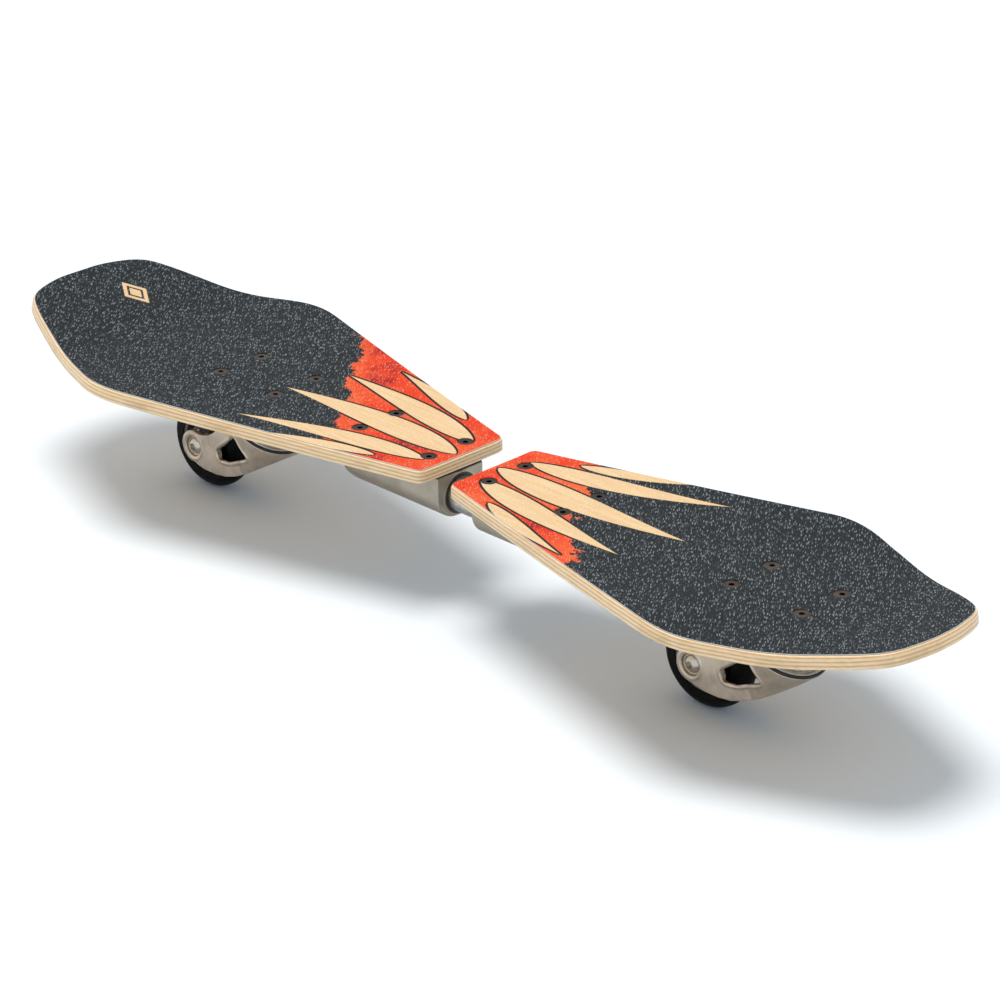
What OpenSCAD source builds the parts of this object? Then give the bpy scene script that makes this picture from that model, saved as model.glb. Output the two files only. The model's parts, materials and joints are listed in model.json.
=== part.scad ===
// Caster board. Two laminated wooden decks are joined by a sprung joint that twists about the
// board's length, and each deck rides on one wheel in an inclined trailing caster.
// X runs forward along the board, Y is across it and Z is up. The wheels stand on Z = 0, and
// X = 0 is half way between the two ends.

/* [Decks] */
// Height of the deck's top face above the ground, at the screws
deck_h = 111; // [110:0.5:113]
// Thickness of a deck
deck_t = 10; // [9:0.5:10.5]
// Distance from the joint's middle to the end of the rear deck
rear_len = 453.2; // [445:0.1:460]
// Distance from the joint's middle to the end of the front deck
front_len = 433.7; // [425:0.1:445]
// Width across the rear deck's wings, before their corners are rounded
rear_wing_w = 233.6; // [226:0.1:240]
// Width across the front deck's wings, before their corners are rounded
front_wing_w = 226.2; // [218:0.1:232]
// Width of both decks at the joint
inner_w = 86; // [80:0.5:90]
// Distance from the joint's middle to where a deck begins
deck_start = 14.5; // [12:0.5:16]
// Rise of a deck's edges over its middle, at its widest
concave = 6; // [0:0.5:7]
// Share of that rise left behind the rear deck's wings
rear_dish = 1; // [0:0.1:1]
// Share of that rise left past the front deck's wings
front_dish = 0; // [0:0.1:1]
// Distance from the joint's middle to where the rear deck bends up
rear_kick_at = 337; // [330:1:350]
// Distance from the joint's middle to where the front deck bends up
front_kick_at = 331; // [325:1:350]
// Slope of the rear deck's bent-up end, as rise over run
rear_kick_slope = 0.25; // [0.15:0.01:0.36]
// Slope of the front deck's bent-up end, as rise over run
front_kick_slope = 0.2; // [0.15:0.01:0.36]
// Thickness of the grip sheet
grip_t = 0.8; // [0.6:0.1:1.2]
// Bare margin between the grip sheet and the deck's edge
grip_margin = 1.5; // [1:0.5:4]

/* [Joint] */
// Distance from the joint's middle to a bracket's end face
bracket_face = 17.2; // [17:0.1:19]
// Distance from the joint's middle to a bracket's far end
bracket_end = 120; // [118:1:130]
// Width of a bracket
bracket_w = 46; // [45:0.5:50]
// Height of the twist axis above the ground
axis_h = 81; // [80.5:0.5:82]
// Thickness of the rubber pad between bracket and deck
pad_t = 2.5; // [2:0.5:3]
// Diameter of the spigot that turns in the rear bracket
spigot_d = 27.6; // [27:0.1:28]
// Diameter of the torsion bar
bar_d = 7; // [6:0.5:8.5]
// Twist each way at which the stop pin meets its slot
twist_max = 25; // [15:1:30]

/* [Caster] */
// Distance from the joint's middle to the rear caster's screw pattern
rear_caster_at = 226.6; // [222:0.1:232]
// Distance from the joint's middle to the front caster's screw pattern
front_caster_at = 296.6; // [292:0.1:300]
// Lean of the swivel axis, top forward
swivel_lean = 30; // [28:1:32]
// Swivel point forward of the screw pattern
pivot_x = 2.2; // [1:0.1:4]
// Height of the swivel point, on the fork's top face
pivot_h = 72.7; // [72:0.1:74]
// Radius of the fork's round top
crown_r = 32.4; // [32:0.1:34]
// Distance of the axle behind the screw pattern
trail = 66; // [64:0.5:67]
// Half width of the fork at the axle
fork_y = 22; // [21.5:0.5:24]
// Half width of the space between the fork's arms
slot_y = 17.5; // [16:0.1:18]

/* [Wheel] */
// Diameter of the wheel
wheel_d = 76; // [72:1:78]
// Width of the tyre
tyre_w = 25; // [24:0.5:26]
// Radius of the tyre's rounded tread
tread_r = 13.5; // [13:0.5:16]
// Radius of the wheel's core
core_r = 23; // [21:0.5:25]

/* [Screws] */
// Length of the caster's screw pattern
caster_px = 62.5; // [60:0.5:64]
// Width of the caster's screw pattern
caster_py = 41.5; // [40:0.5:43]
// Length of the bracket's screw pattern
bracket_px = 73.5; // [72:0.5:75]
// Width of the bracket's screw pattern
bracket_py = 37; // [36.5:0.1:37.5]

/* [Hidden] */
$fn = 64;

// Both undersides reach out past the top faces at the tips, because the ends are cut square
joint_x = (rear_len + deck_t * sin(atan(rear_kick_slope))
    - front_len - deck_t * sin(atan(front_kick_slope))) / 2;
deck_under = deck_h - deck_t;
bracket_top = deck_under - pad_t;
bracket_low = axis_h - 17.2;
bracket_at = 67.7;
axle_h = wheel_d / 2;
kick_bend = 45;
inner_round = 6;
tip_round = 26;
flat_y = 20;
dish_y = 114;
dish_from = 245;
dish_to = 310;

// Screws: countersunk M6 with a hexagon socket
screw_r = 2.95;
head_r = 6;
head_top = deck_h + 0.4;

// Joint: bushes, and the stations along X of what holds the spigot
bush_r = 15;
seal_r = 15.4;
shoulder_at = 83.5;
barrel_end = 88;
pocket_end = 104;
stop_at = 55;
pin_r = 3;

// Swivel bearing, along the swivel axis from the fork's top face
base_gap = 4;
ball_r = 2.5;
ball_pitch = 19;
ball_count = 22;
race_r = 24.5;
kingpin_r = 5;
crown_t = 8;
boss_low = -13;
head_at = 14;

// Wheel bearings, 8 x 22 x 7
brg_in = 5;
brg_out = 12;
brg_pitch = 7.5;
brg_ball_r = 1.98;

module along_x(a, b) translate([a, 0, 0]) rotate([90, 0, 90]) linear_extrude(b - a) children();
module along_y(w) rotate([90, 0, 0]) linear_extrude(w, center = true) children();
module rod(a, b, r) translate([a, 0, axis_h]) rotate([0, 90, 0]) cylinder(r = r, h = b - a);
module disc_y(a, b, r) translate([0, a, 0]) rotate([-90, 0, 0]) cylinder(r = r, h = b - a);
module ring(r1, r2, a, b) translate([0, 0, a]) difference() {
    cylinder(r = r2, h = b - a);
    translate([0, 0, -1]) cylinder(r = r1, h = b - a + 2);
}

// Both halves are drawn forward of the joint's middle. The rear one is mirrored.
module in_front() translate([joint_x, 0, 0]) children();
module in_rear() translate([joint_x, 0, 0]) mirror([1, 0, 0]) children();
// Both casters trail the same way, so neither is mirrored.
module at_front() translate([joint_x + front_caster_at, 0, 0]) children();
module at_rear() translate([joint_x - rear_caster_at, 0, 0]) children();
module on_pivot() translate([pivot_x, 0, pivot_h]) rotate([0, swivel_lean, 0]) children();
module on_axle() translate([-trail, 0, axle_h]) children();

module pattern(px, py) for (x = [-px / 2, px / 2], y = [-py / 2, py / 2])
    translate([x, y, 0]) children();

// Decks

// Everything that sets one deck apart, read by the names below
REAR = [rear_len, rear_wing_w, rear_kick_at, rear_kick_slope, rear_dish, rear_caster_at,
    [[158.8, 0], [93.3, 24.4], [30.7, 48], [9.6, 61], [0, 92]]];
FRONT = [front_len, front_wing_w, front_kick_at, front_kick_slope, front_dish, front_caster_at,
    [[159.4, 0], [112.4, 17.6], [28.4, 54], [7.2, 68.7], [0, 100.8]]];
function length(deck) = deck[0];
function kick_at(deck) = deck[2];
function caster_at(deck) = deck[5];

// Half outline from the joint to the tip as [distance, half width]: a straight flare to the
// wings, then the corners of the tip, which are given from the tip back and from the wings in
function corners(deck) = [[deck_start, 0], [deck_start, inner_w / 2],
    for (p = deck[6]) [length(deck) - p[0], deck[1] / 2 - p[1]], [length(deck), 0]];
function bend(a, b, c, r) = let(p = b + (a - b) * min(r / norm(a - b), 0.48),
    q = b + (c - b) * min(r / norm(c - b), 0.48))
    [for (t = [0:0.25:1]) (1 - t) * (1 - t) * p + 2 * t * (1 - t) * b + t * t * q];
function outline(deck) = let(c = corners(deck)) [for (i = [1:len(c) - 2])
    each bend(c[i - 1], c[i], c[i + 1], i == 1 ? inner_round : tip_round)];

// Height of the top face over the screws, at distance d from the joint and y off the middle.
// The middle band is flat, and the dish on each side of it fades to a share past the wings.
function kick(deck, over) = over < 0 ? 0
    : deck[3] * (over < kick_bend ? over * over / (2 * kick_bend) : over - kick_bend / 2);
function fade(d) = (1 + cos(180 * min(1, max(0, (d - dish_from) / (dish_to - dish_from))))) / 2;
function rise(deck, d, y) = kick(deck, d - kick_at(deck)) + concave
    * (deck[4] + (1 - deck[4]) * fade(d)) * pow(max(0, abs(y) - flat_y) / (dish_y - flat_y), 2);

// Point over the top face, square to it, at height h
function over_top(deck, d, y, h) = let(e = 0.5,
    slope_d = (rise(deck, d + e, y) - rise(deck, d - e, y)) / (2 * e),
    slope_y = (rise(deck, d, y + e) - rise(deck, d, y - e)) / (2 * e),
    n = [-slope_d, -slope_y, 1]) [d, y, deck_h + rise(deck, d, y)] + h * n / norm(n);

function sorted(a) = len(a) == 0 ? [] : let(p = a[0]) concat(sorted([for (x = a) if (x < p) x]),
    [p], sorted([for (x = a) if (x > p) x]));

// A bent and dished sheet in a deck's outline, from height a to height b over its top face
module sheet(deck, a, b) {
    side = outline(deck);
    xs = sorted([for (p = side) p[0], for (i = [0:5]) dish_from + i * (dish_to - dish_from) / 5,
        for (i = [0:4]) kick_at(deck) + i * kick_bend / 4]);
    n = len(xs);
    m = 8;
    function across(w, j) = let(flat = min(flat_y, 0.6 * w), k = j < 4 ? 3 - j : j - 4)
        (j < 4 ? -1 : 1) * (flat + (w - flat) * k / 3);
    function at(i, j, top) = top * n * m + i * m + j;
    pts = [for (h = [a, b], x = xs, j = [0:m - 1]) over_top(deck, x, across(lookup(x, side), j), h)];
    faces = [
        for (i = [0:n - 2], j = [0:m - 2]) each [
            [at(i, j, 1), at(i, j + 1, 1), at(i + 1, j, 1)],
            [at(i + 1, j, 1), at(i, j + 1, 1), at(i + 1, j + 1, 1)],
            [at(i, j, 0), at(i + 1, j, 0), at(i, j + 1, 0)],
            [at(i, j + 1, 0), at(i + 1, j, 0), at(i + 1, j + 1, 0)]],
        for (i = [0:n - 2]) each [
            [at(i, 0, 0), at(i, 0, 1), at(i + 1, 0, 1)],
            [at(i, 0, 0), at(i + 1, 0, 1), at(i + 1, 0, 0)],
            [at(i, m - 1, 0), at(i + 1, m - 1, 1), at(i, m - 1, 1)],
            [at(i, m - 1, 0), at(i + 1, m - 1, 0), at(i + 1, m - 1, 1)]],
        for (j = [0:m - 2]) each [
            [at(0, j, 0), at(0, j + 1, 1), at(0, j, 1)],
            [at(0, j, 0), at(0, j + 1, 0), at(0, j + 1, 1)],
            [at(n - 1, j, 0), at(n - 1, j, 1), at(n - 1, j + 1, 1)],
            [at(n - 1, j, 0), at(n - 1, j + 1, 1), at(n - 1, j + 1, 0)]]];
    polyhedron(pts, faces);
}

module deck_holes(caster_at, r, cone) {
    for (p = [[caster_at, caster_px, caster_py], [bracket_at, bracket_px, bracket_py]])
        translate([p[0], 0, 0]) pattern(p[1], p[2]) {
            translate([0, 0, deck_under - 5]) cylinder(r = r, h = deck_t + 20);
            if (cone) {
                translate([0, 0, head_top - 3.3]) cylinder(r1 = 3.1, r2 = head_r + 0.15, h = 3.35);
                translate([0, 0, head_top]) cylinder(r = head_r + 0.15, h = 5);
            }
        }
}

module deck(deck) color("burlywood") difference() {
    sheet(deck, -deck_t, 0);
    deck_holes(caster_at(deck), 3.3, true);
}

module grip(deck) color("darkslategray") difference() {
    intersection() {
        sheet(deck, 0, grip_t);
        linear_extrude(200) offset(delta = -grip_margin) for (s = [0, 1]) mirror([0, s])
            polygon([[deck_start, -1], each outline(deck), [length(deck), -1]]);
    }
    deck_holes(caster_at(deck), head_r + 0.3, false);
}

module rear_deck() in_rear() deck(REAR);
module front_deck() in_front() deck(FRONT);
module rear_grip() in_rear() grip(REAR);
module front_grip() in_front() grip(FRONT);

// Twisting joint

// End view of a bracket: flat top, straight sides, round lower corners
module bracket_section() {
    r = 18.7;
    c = bracket_w / 2 - r;
    intersection() {
        union() {
            for (y = [-c, c]) translate([y, bracket_low + r]) circle(r = r);
            translate([-c, bracket_low]) square([2 * c, r]);
            translate([-bracket_w / 2, bracket_low + r]) square([bracket_w, 40]);
        }
        translate([-50, 0]) square([100, bracket_top]);
    }
}

// Side view of a bracket: the lower far corner sweeps up to the deck
module bracket_side() {
    r = 20;
    translate([bracket_face, bracket_low]) square([bracket_end - r - bracket_face, 60]);
    translate([bracket_face, bracket_low + r]) square([bracket_end - bracket_face, 60]);
    translate([bracket_end - r, bracket_low + r]) circle(r = r);
}

module bracket_body() intersection() {
    along_x(bracket_face, bracket_end) bracket_section();
    along_y(60) bracket_side();
}

module bracket_pocket(a, b) translate([a, -14.8, axis_h - 15]) cube([b - a, 29.6, 40]);
module bracket_taps() translate([bracket_at, 0, deck_h - 28]) pattern(bracket_px, bracket_py)
    cylinder(r = screw_r + 0.05, h = 28);
module bar_socket(a, b, gap) translate([a, -4.5 - gap, axis_h - 4.5 - gap])
    cube([b - a, 9 + 2 * gap, 9 + 2 * gap]);

// Housing: bushes in a barrel, a shoulder that holds the spigot back, and the bar's anchor
module rear_bracket() in_rear() color("silver") difference() {
    bracket_body();
    rod(0, shoulder_at, bush_r);
    rod(0, bracket_face + 3, seal_r);
    translate([bracket_face, 0, axis_h]) rotate([0, 90, 0])
        translate([0, 0, -0.01]) cylinder(r1 = seal_r + 0.8, r2 = seal_r, h = 0.8);
    rod(shoulder_at - 1, barrel_end + 1, 10.8);
    bracket_pocket(barrel_end, pocket_end);
    bar_socket(pocket_end - 1, bracket_end - 4, 0.03);
    along_x(stop_at - pin_r - 0.2, stop_at + pin_r + 0.2) translate([0, axis_h]) hull()
        for (a = [-twist_max, twist_max]) rotate(a) translate([-pin_r - 0.1, 0])
            square([2 * pin_r + 0.2, 24]);
    bracket_taps();
}

module front_bracket() in_front() color("silver") difference() {
    bracket_body();
    rod(0, 64, spigot_d / 2);
    bracket_pocket(64, 100);
    bar_socket(99, 114, 0.03);
    translate([45, 0, axis_h + 5]) cylinder(r = pin_r, h = 30);
    bracket_taps();
}

module bracket_pad() color("dimgray") difference() {
    along_x(bracket_face + 0.8, bracket_end - 1.5) translate([-bracket_w / 2 + 0.5, bracket_top])
        square([bracket_w - 1, pad_t]);
    translate([bracket_at, 0, bracket_top - 1]) pattern(bracket_px, bracket_py)
        cylinder(r = 3.3, h = pad_t + 2);
}
module rear_bracket_pad() in_rear() bracket_pad();
module front_bracket_pad() in_front() bracket_pad();

// Steel tube, pressed and pinned in the front bracket, turning in the rear one. The rear
// stations are behind the joint's middle, so they are negative here.
module spigot() in_front() color("lightgray") difference() {
    union() {
        rod(0.3 - shoulder_at, 64, spigot_d / 2);
        rod(-94, 1 - shoulder_at, 10.7);
    }
    rod(-100, 70, 5.5);
    difference() {
        rod(-91.4, -89.6, 12);
        rod(-92, -89, 9.8);
    }
    translate([45, 0, axis_h + 5]) cylinder(r = pin_r, h = 30);
    translate([-stop_at, 0, axis_h + 5]) cylinder(r = pin_r, h = 30);
}

module spigot_pin() in_front() color("gray")
    translate([45, 0, axis_h + 7.5]) cylinder(r = pin_r, h = bracket_top - axis_h - 8);
module stop_pin() in_front() color("gray")
    translate([-stop_at, 0, axis_h + 7.5]) cylinder(r = pin_r, h = 9);

module tube(a, b, r1, r2) difference() {
    rod(a, b, r2);
    rod(a - 1, b + 1, r1);
}
module joint_bushes() in_rear() color("goldenrod") for (a = [bracket_face + 3.2, 62])
    tube(a, a + 21, spigot_d / 2 + 0.05, bush_r);
module joint_seal() in_rear() color("black")
    tube(bracket_face + 0.4, bracket_face + 3, spigot_d / 2 + 0.1, seal_r);
module joint_washer() in_rear() color("silver") tube(barrel_end + 0.1, barrel_end + 1.5, 10.8, 14);
module joint_circlip() in_rear() color("dimgray") difference() {
    tube(barrel_end + 1.7, barrel_end + 3.2, 9.85, 13.4);
    translate([barrel_end, -3, axis_h + 3]) cube([5, 6, 20]);
}

// Spring steel bar with square ends, one held in each bracket
module torsion_bar() in_front() color("slategray") {
    rod(-pocket_end - 1, 101, bar_d / 2);
    bar_socket(-bracket_end + 5, -pocket_end, 0);
    bar_socket(100, 113, 0);
}

// Fasteners

module csk_screw(length) color("black") difference() {
    union() {
        translate([0, 0, head_top - 3.05]) cylinder(r1 = screw_r, r2 = head_r, h = 3.05);
        translate([0, 0, head_top - length]) cylinder(r = screw_r, h = length - 1);
    }
    translate([0, 0, head_top - 2.4]) cylinder(r = 2.31, h = 4, $fn = 6);
}
module bracket_screws() translate([bracket_at, 0, 0]) pattern(bracket_px, bracket_py) csk_screw(27);
module caster_screws() pattern(caster_px, caster_py) csk_screw(24.5);
module caster_nuts() color("silver") pattern(caster_px, caster_py)
    translate([0, 0, deck_under - 12]) difference() {
        union() {
            cylinder(r = 5.77, h = 5, $fn = 6);
            translate([0, 0, -1]) cylinder(r = 4.6, h = 2);
        }
        translate([0, 0, -2]) cylinder(r = screw_r, h = 9);
    }
module rear_bracket_screws() in_rear() bracket_screws();
module front_bracket_screws() in_front() bracket_screws();
module rear_caster_screws() at_rear() caster_screws();
module front_caster_screws() at_front() caster_screws();
module rear_caster_nuts() at_rear() translate([0, 0, 1]) caster_nuts();
module front_caster_nuts() at_front() translate([0, 0, 1]) caster_nuts();

// Caster swivel

// Wedge under the deck: a flange, and a column cut off square to the swivel axis
module caster_base() color("silver") difference() {
    union() {
        translate([0, 0, deck_under - 6]) linear_extrude(6)
            offset(r = 10) square([84 - 20, 60 - 20], center = true);
        intersection() {
            on_pivot() translate([0, 0, base_gap]) cylinder(r = 90, h = 120);
            translate([pivot_x, 0, 0]) linear_extrude(deck_under)
                scale([cos(swivel_lean), 1]) circle(r = 31.4);
        }
    }
    on_pivot() {
        cylinder(r = kingpin_r + 0.05, h = 60);
        translate([0, 0, head_at]) cylinder(r = 11.5, h = 60);
    }
    translate([0, 0, deck_under - 10]) pattern(caster_px, caster_py) cylinder(r = 3.3, h = 20);
}

// Hexagon bolt along the swivel axis
module kingpin() on_pivot() color("gray") {
    translate([0, 0, -23.5]) cylinder(r = kingpin_r, h = head_at + 23.6);
    translate([0, 0, head_at]) cylinder(r = 9.8, h = 6.4, $fn = 6);
}
module kingpin_washer() on_pivot() color("silver")
    ring(kingpin_r + 0.1, 10.5, boss_low - 1.8, boss_low - 0.2);
module kingpin_nut() on_pivot() color("silver") difference() {
    translate([0, 0, boss_low - 9.8]) cylinder(r = 9.8, h = 8, $fn = 6);
    translate([0, 0, boss_low - 10]) cylinder(r = kingpin_r, h = 9);
}
module dust_ring() on_pivot() color("gainsboro") ring(28.6, 31.3, 0.6, base_gap);

module race(a, b) difference() {
    ring(14, race_r, a, b);
    rotate_extrude() translate([ball_pitch, 0]) circle(r = ball_r + 0.05);
}
module upper_race() on_pivot() color("lightgray") race(1.6, base_gap);
module lower_race() on_pivot() color("lightgray") race(-4, -1.6);
module swivel_balls() on_pivot() color("white") for (i = [1:ball_count])
    rotate(i * 360 / ball_count) translate([ball_pitch, 0, 0]) sphere(r = ball_r);
module swivel_bush() on_pivot() color("goldenrod") {
    ring(kingpin_r + 0.05, 7.5, boss_low, -3.5);
    ring(kingpin_r + 0.05, 10, -4, -2.8);
}

// Fork

// Side view of the fork: round lug at the axle, scooped top edge, straight rising keel
module fork_side() {
    c = pivot_h + (crown_r - 0.5) * sin(swivel_lean);
    offset(r = -6) offset(delta = 6) offset(r = 3) offset(delta = -3) union() {
        polygon([[pivot_x - crown_r * cos(swivel_lean), c], [32, 55.5], [-6, 33], [-17, 27.7],
            [-28, 24], [-40, 22.2], [-52, 22], [-62, 24], [-74, 36], [-66, 49.5], [-55.5, 50.5],
            [-47.5, 53], [-41, 57.5], [-36, 64], [-32, 76]]);
        translate([-trail, axle_h]) circle(r = 13);
    }
}

// Space for the wheel, open below and behind
module fork_slot() {
    h = crown_t;
    s = sin(swivel_lean);
    c = cos(swivel_lean);
    polygon([[pivot_x - h * s - 70 * c, pivot_h - h * c + 70 * s],
        [pivot_x - h * s + 22 * c, pivot_h - h * c - 22 * s],
        [8, 36], [-6, 0], [-120, 0], [-120, 120]]);
}

// The arms stay flat behind, and flare out to the round crown in front
module flare(r, top, y_back, y_front) hull() {
    on_pivot() translate([0, 0, top - 1]) cylinder(r = r, h = 1);
    for (p = [[-36, 31, y_back], [-5, 34.5, y_front]]) translate([p[0], 0, p[1]]) rotate([90, 0, 0])
        cylinder(r = 4, h = 2 * p[2], center = true, $fn = 24);
}

module window() offset(r = 2) offset(delta = -2)
    polygon([[-10, 65], [-38.5, 43.5], [-35, 36.5], [-23, 38], [3.5, 50.6]]);

module fork_body() difference() {
    union() {
        intersection() {
            along_y(90) fork_side();
            union() {
                along_y(2 * fork_y) translate([-90, 0]) square([90 - 8, 120]);
                flare(crown_r - 0.2, 0, 12, fork_y);
            }
        }
        on_pivot() translate([0, 0, -1.5]) cylinder(r = crown_r, h = 1.5);
    }
    intersection() {
        along_y(70) fork_slot();
        union() {
            along_y(2 * slot_y) translate([-120, 0]) square([120 + 8, 120]);
            flare(crown_r - 5, -crown_t, slot_y, slot_y);
        }
    }
    // Above the shoulder the arms keep within the crown, clear of the screws over them
    on_pivot() rotate_extrude() polygon([[crown_r, 30], [crown_r, -6], [crown_r + 20, -26],
        [90, -26], [90, 30]]);
}

module fork() color("silver") difference() {
    union() {
        fork_body();
        on_pivot() translate([0, 0, boss_low]) cylinder(r = 13, h = 6);
        on_axle() for (s = [-1, 1]) disc_y(s > 0 ? brg_out + 0.05 : -slot_y - 0.5,
            s > 0 ? slot_y + 0.5 : -brg_out - 0.05, 5.8);
    }
    on_pivot() {
        translate([0, 0, -4]) cylinder(r = race_r, h = 5);
        translate([0, 0, boss_low - 1]) cylinder(r = 7.5, h = 20);
    }
    on_axle() {
        disc_y(-40, 40, 4.02);
        disc_y(19.4, 40, 8.2);
        disc_y(-40, -19.4, 8.2);
    }
    along_y(90) window();
}

// Wheel

module turned() rotate([90, 0, 0]) rotate_extrude() children();

module tyre() on_axle() color("black") turned() {
    translate([core_r, -tyre_w / 2]) square([4, tyre_w]);
    intersection() {
        translate([wheel_d / 2 - tread_r, 0]) circle(r = tread_r);
        translate([core_r, -tyre_w / 2]) square([30, tyre_w]);
    }
}

// Spoked core with a bearing seat at each side
module hub() on_axle() color("slategray") difference() {
    union() {
        turned() translate([core_r - 3, -11.5]) square([3, 23]);
        turned() translate([9.2, -12]) square([5, 24]);
        rotate([90, 0, 0]) for (a = [0:60:300]) rotate(a)
            translate([12, -1.6, -8]) cube([core_r - 14, 3.2, 16]);
        disc_y(-1.5, 1.5, core_r - 1);
    }
    disc_y(-20, 20, 9.3);
    for (s = [-1, 1]) disc_y(s > 0 ? brg_in : -20, s > 0 ? 20 : -brg_in, 11);
    rotate([90, 0, 0]) for (a = [30:60:330]) rotate(a)
        translate([17, 0, -20]) cylinder(r = 2.6, h = 40);
}

module both_bearings() for (s = [-1, 1]) translate([0, s * (brg_in + brg_out) / 2, 0]) children();
module bearing_outers() on_axle() color("silver") both_bearings() turned() difference() {
    translate([9.1, -3.5]) square([1.9, 7]);
    translate([brg_pitch, 0]) circle(r = brg_ball_r + 0.03);
}
module bearing_inners() on_axle() color("silver") both_bearings() turned() difference() {
    translate([4, -3.5]) square([1.9, 7]);
    translate([brg_pitch, 0]) circle(r = brg_ball_r + 0.03);
}
module bearing_balls() on_axle() color("white") both_bearings() rotate([90, 0, 0])
    for (i = [0:6]) rotate(i * 360 / 7) translate([brg_pitch, 0, 0]) sphere(r = brg_ball_r);
module bearing_seals() on_axle() color("black") both_bearings() turned()
    for (y = [-3.3, 2.9]) translate([6, y]) square([3.1, 0.4]);
module bearing_spacer() on_axle() color("silver") turned()
    translate([4.02, -brg_in]) square([1.7, 2 * brg_in]);

// Round-headed axle in two parts: a barrel with a bore, and the screw that closes it
module round_head() difference() {
    intersection() {
        disc_y(-22.8, -19.4, 6.4);
        translate([0, -14, 0]) sphere(r = 8.9);
    }
    translate([0, -24, 0]) rotate([-90, 0, 0]) cylinder(r = 2.9, h = 3.6, $fn = 6);
}
module axle_barrel() on_axle() color("lightgray") difference() {
    union() {
        round_head();
        disc_y(-19.4, 13, 3.98);
    }
    disc_y(-6, 14, 2.5);
}
module axle_screw() on_axle() color("lightgray") {
    mirror([0, 1, 0]) round_head();
    disc_y(-4, 19.4, 2.5);
    disc_y(13.5, 19.4, 3.98);
}

module rear_caster_base() at_rear() caster_base();
module front_caster_base() at_front() caster_base();
module rear_kingpin() at_rear() kingpin();
module front_kingpin() at_front() kingpin();
module rear_kingpin_washer() at_rear() kingpin_washer();
module front_kingpin_washer() at_front() kingpin_washer();
module rear_kingpin_nut() at_rear() kingpin_nut();
module front_kingpin_nut() at_front() kingpin_nut();
module rear_dust_ring() at_rear() dust_ring();
module front_dust_ring() at_front() dust_ring();
module rear_upper_race() at_rear() upper_race();
module front_upper_race() at_front() upper_race();
module rear_swivel_balls() at_rear() swivel_balls();
module front_swivel_balls() at_front() swivel_balls();
module rear_lower_race() at_rear() lower_race();
module front_lower_race() at_front() lower_race();
module rear_swivel_bush() at_rear() swivel_bush();
module front_swivel_bush() at_front() swivel_bush();
module rear_fork() at_rear() fork();
module front_fork() at_front() fork();
module rear_tyre() at_rear() tyre();
module front_tyre() at_front() tyre();
module rear_hub() at_rear() hub();
module front_hub() at_front() hub();
module rear_bearing_outers() at_rear() bearing_outers();
module front_bearing_outers() at_front() bearing_outers();
module rear_bearing_inners() at_rear() bearing_inners();
module front_bearing_inners() at_front() bearing_inners();
module rear_bearing_balls() at_rear() bearing_balls();
module front_bearing_balls() at_front() bearing_balls();
module rear_bearing_seals() at_rear() bearing_seals();
module front_bearing_seals() at_front() bearing_seals();
module rear_bearing_spacer() at_rear() bearing_spacer();
module front_bearing_spacer() at_front() bearing_spacer();
module rear_axle_barrel() at_rear() axle_barrel();
module front_axle_barrel() at_front() axle_barrel();
module rear_axle_screw() at_rear() axle_screw();
module front_axle_screw() at_front() axle_screw();

rear_deck();
front_deck();
rear_grip();
front_grip();
rear_bracket();
front_bracket();
rear_bracket_pad();
front_bracket_pad();
spigot();
spigot_pin();
stop_pin();
joint_bushes();
joint_seal();
joint_washer();
joint_circlip();
torsion_bar();
rear_bracket_screws();
front_bracket_screws();
rear_caster_screws();
front_caster_screws();
rear_caster_nuts();
front_caster_nuts();
rear_caster_base();
front_caster_base();
rear_kingpin();
front_kingpin();
rear_kingpin_washer();
front_kingpin_washer();
rear_kingpin_nut();
front_kingpin_nut();
rear_dust_ring();
front_dust_ring();
rear_upper_race();
front_upper_race();
rear_swivel_balls();
front_swivel_balls();
rear_lower_race();
front_lower_race();
rear_swivel_bush();
front_swivel_bush();
rear_fork();
front_fork();
rear_tyre();
front_tyre();
rear_hub();
front_hub();
rear_bearing_outers();
front_bearing_outers();
rear_bearing_inners();
front_bearing_inners();
rear_bearing_balls();
front_bearing_balls();
rear_bearing_seals();
front_bearing_seals();
rear_bearing_spacer();
front_bearing_spacer();
rear_axle_barrel();
front_axle_barrel();
rear_axle_screw();
front_axle_screw();
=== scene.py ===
"""Looks of a caster board: two laminated maple decks with gritty tops, joined by a sprung
twisting joint, each on one wheel in an inclined trailing caster.

X runs forward along the board, Y across it and Z up, in metres. Sizes below are in millimetres
where MM stands beside them.
"""
import json
import math

import bmesh
import bpy
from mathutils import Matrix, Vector
from mathutils.bvhtree import BVHTree


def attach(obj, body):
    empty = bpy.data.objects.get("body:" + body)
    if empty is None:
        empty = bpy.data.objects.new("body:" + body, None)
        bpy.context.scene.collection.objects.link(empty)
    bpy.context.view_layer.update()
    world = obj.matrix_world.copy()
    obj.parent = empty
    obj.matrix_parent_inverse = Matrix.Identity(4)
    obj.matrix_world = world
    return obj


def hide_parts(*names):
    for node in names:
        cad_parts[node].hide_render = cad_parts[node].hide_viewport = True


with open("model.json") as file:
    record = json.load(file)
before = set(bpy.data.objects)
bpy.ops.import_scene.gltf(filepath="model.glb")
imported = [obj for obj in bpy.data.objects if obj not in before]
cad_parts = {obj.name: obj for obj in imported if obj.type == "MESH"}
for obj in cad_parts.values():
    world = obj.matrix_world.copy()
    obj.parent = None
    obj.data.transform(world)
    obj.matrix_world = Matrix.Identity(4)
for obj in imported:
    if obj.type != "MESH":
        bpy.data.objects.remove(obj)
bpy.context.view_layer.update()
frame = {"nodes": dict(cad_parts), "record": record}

NODES = frame["nodes"]
ENDS = ("rear", "front")
SIGN = {"rear": -1, "front": 1}
MM = 0.001

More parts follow.
